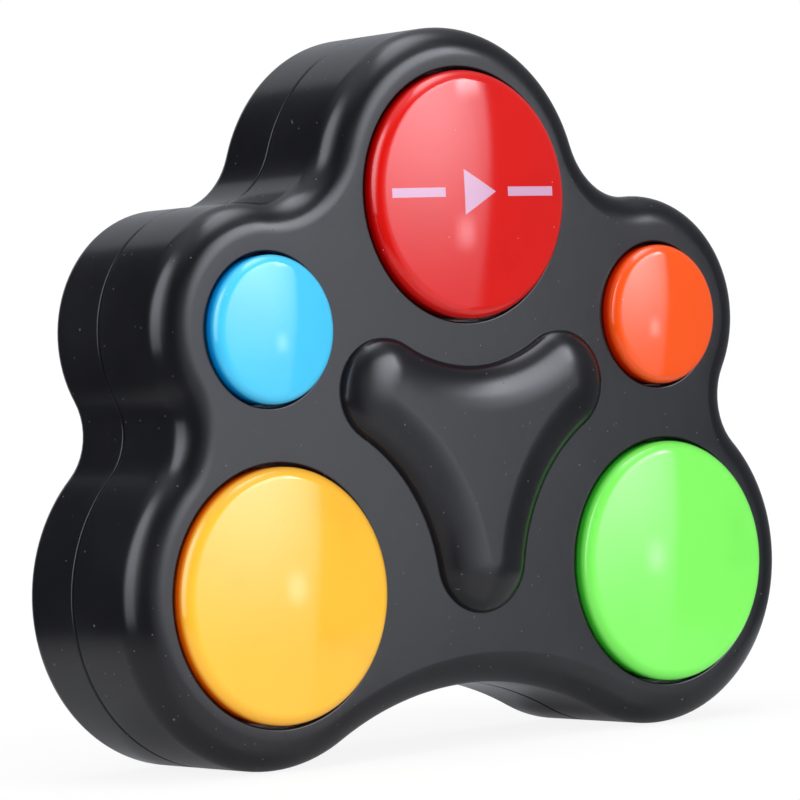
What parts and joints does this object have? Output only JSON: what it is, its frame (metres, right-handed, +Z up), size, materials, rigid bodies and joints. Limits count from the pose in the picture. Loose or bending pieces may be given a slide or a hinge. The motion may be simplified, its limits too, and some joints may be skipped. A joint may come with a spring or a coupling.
{
  "type": "electronic memory game",
  "caption": "Hand-held light-and-sound memory game: flat lobed black case with round coloured push buttons on the front, a raised moulded pad between them and a battery door at the back.",
  "frame": {"origin": "centre of the bounding box at its base, where the two lower lobes stand", "axes": "+Z up, front with the buttons towards -Y, +X to the right of someone facing the buttons"},
  "size_m": [0.1546, 0.0386, 0.1322],
  "materials": {
    "shell": "black plastic, satin",
    "screw": "zinc-plated steel",
    "board": "green solder mask",
    "chip": "black moulded resin",
    "capacitor": "dark blue sleeve",
    "speaker_metal": "plated steel",
    "speaker_cone": "black treated paper",
    "foam": "black foam",
    "contact": "nickel-plated spring steel",
    "lead_red": "soft insulation, red",
    "lead_black": "soft insulation, black",
    "cell": "plain steel-jacketed cell with a grey wrapper",
    "plunger": "off-white plastic",
    "switch": "black plastic",
    "spring_steel": "spring steel wire",
    "start_cap": "coloured see-through plastic, glossy",
    "start_lamp": "clear tinted resin",
    "blue_cap": "coloured see-through plastic, glossy",
    "blue_lamp": "clear tinted resin",
    "orange_cap": "coloured see-through plastic, glossy",
    "orange_lamp": "clear tinted resin",
    "yellow_cap": "coloured see-through plastic, glossy",
    "yellow_lamp": "clear tinted resin",
    "green_cap": "coloured see-through plastic, glossy",
    "green_lamp": "clear tinted resin"
  },
  "bodies": {
    "case": {"front_shell": "shell", "rear_shell": "shell", "shell_screws": "screw", "board_screws": "screw", "circuit_board": "board", "controller_chip": "chip", "capacitor": "capacitor", "resistors": "chip", "speaker_basket": "speaker_metal", "speaker_cone": "speaker_cone", "speaker_magnet": "speaker_metal", "speaker_gasket": "foam", "battery_contact_positive": "contact", "battery_contact_negative": "contact", "battery_link_left": "contact", "battery_link_right": "contact", "battery_lead_positive": "lead_red", "battery_lead_negative": "lead_black", "speaker_lead_left": "lead_red", "speaker_lead_right": "lead_black", "battery_1": "cell", "battery_2": "cell", "battery_3": "cell", "start_switch_housing": "switch", "start_return_spring": "spring_steel", "start_lamp": "start_lamp", "blue_switch_housing": "switch", "blue_return_spring": "spring_steel", "blue_lamp": "blue_lamp", "orange_switch_housing": "switch", "orange_return_spring": "spring_steel", "orange_lamp": "orange_lamp", "yellow_switch_housing": "switch", "yellow_return_spring": "spring_steel", "yellow_lamp": "yellow_lamp", "green_switch_housing": "switch", "green_return_spring": "spring_steel", "green_lamp": "green_lamp"},
    "start_button": {"start_button_cap": "start_cap", "start_switch_plunger": "plunger"},
    "blue_button": {"blue_button_cap": "blue_cap", "blue_switch_plunger": "plunger"},
    "orange_button": {"orange_button_cap": "orange_cap", "orange_switch_plunger": "plunger"},
    "yellow_button": {"yellow_button_cap": "yellow_cap", "yellow_switch_plunger": "plunger"},
    "green_button": {"green_button_cap": "green_cap", "green_switch_plunger": "plunger"},
    "battery_door": {"battery_door": "shell"},
    "battery_door_screw_upper": {"battery_door_screw_upper": "screw"},
    "battery_door_screw_lower": {"battery_door_screw_lower": "screw"}
  },
  "joints": [
    {"name": "start_button_press", "type": "slide", "parent": "case", "child": "start_button", "axis": [0, 1, 0], "range_m": [0, 0.0015], "stiffness_N_per_m": 600, "springref_m": -0.002, "deforming": ["start_return_spring"]},
    {"name": "blue_button_press", "type": "slide", "parent": "case", "child": "blue_button", "axis": [0, 1, 0], "range_m": [0, 0.0015], "stiffness_N_per_m": 600, "springref_m": -0.002, "deforming": ["blue_return_spring"]},
    {"name": "orange_button_press", "type": "slide", "parent": "case", "child": "orange_button", "axis": [0, 1, 0], "range_m": [0, 0.0015], "stiffness_N_per_m": 600, "springref_m": -0.002, "deforming": ["orange_return_spring"]},
    {"name": "yellow_button_press", "type": "slide", "parent": "case", "child": "yellow_button", "axis": [0, 1, 0], "range_m": [0, 0.0015], "stiffness_N_per_m": 600, "springref_m": -0.002, "deforming": ["yellow_return_spring"]},
    {"name": "green_button_press", "type": "slide", "parent": "case", "child": "green_button", "axis": [0, 1, 0], "range_m": [0, 0.0015], "stiffness_N_per_m": 600, "springref_m": -0.002, "deforming": ["green_return_spring"]},
    {"name": "battery_door_lift", "type": "slide", "parent": "case", "child": "battery_door", "axis": [0, 1, 0], "range_m": [0, 0.03]},
    {"name": "battery_door_screw_upper_withdraw", "type": "slide", "parent": "battery_door", "child": "battery_door_screw_upper", "axis": [0, 1, 0], "range_m": [0, 0.01]},
    {"name": "battery_door_screw_lower_withdraw", "type": "slide", "parent": "battery_door", "child": "battery_door_screw_lower", "axis": [0, 1, 0], "range_m": [0, 0.01]}
  ]
}
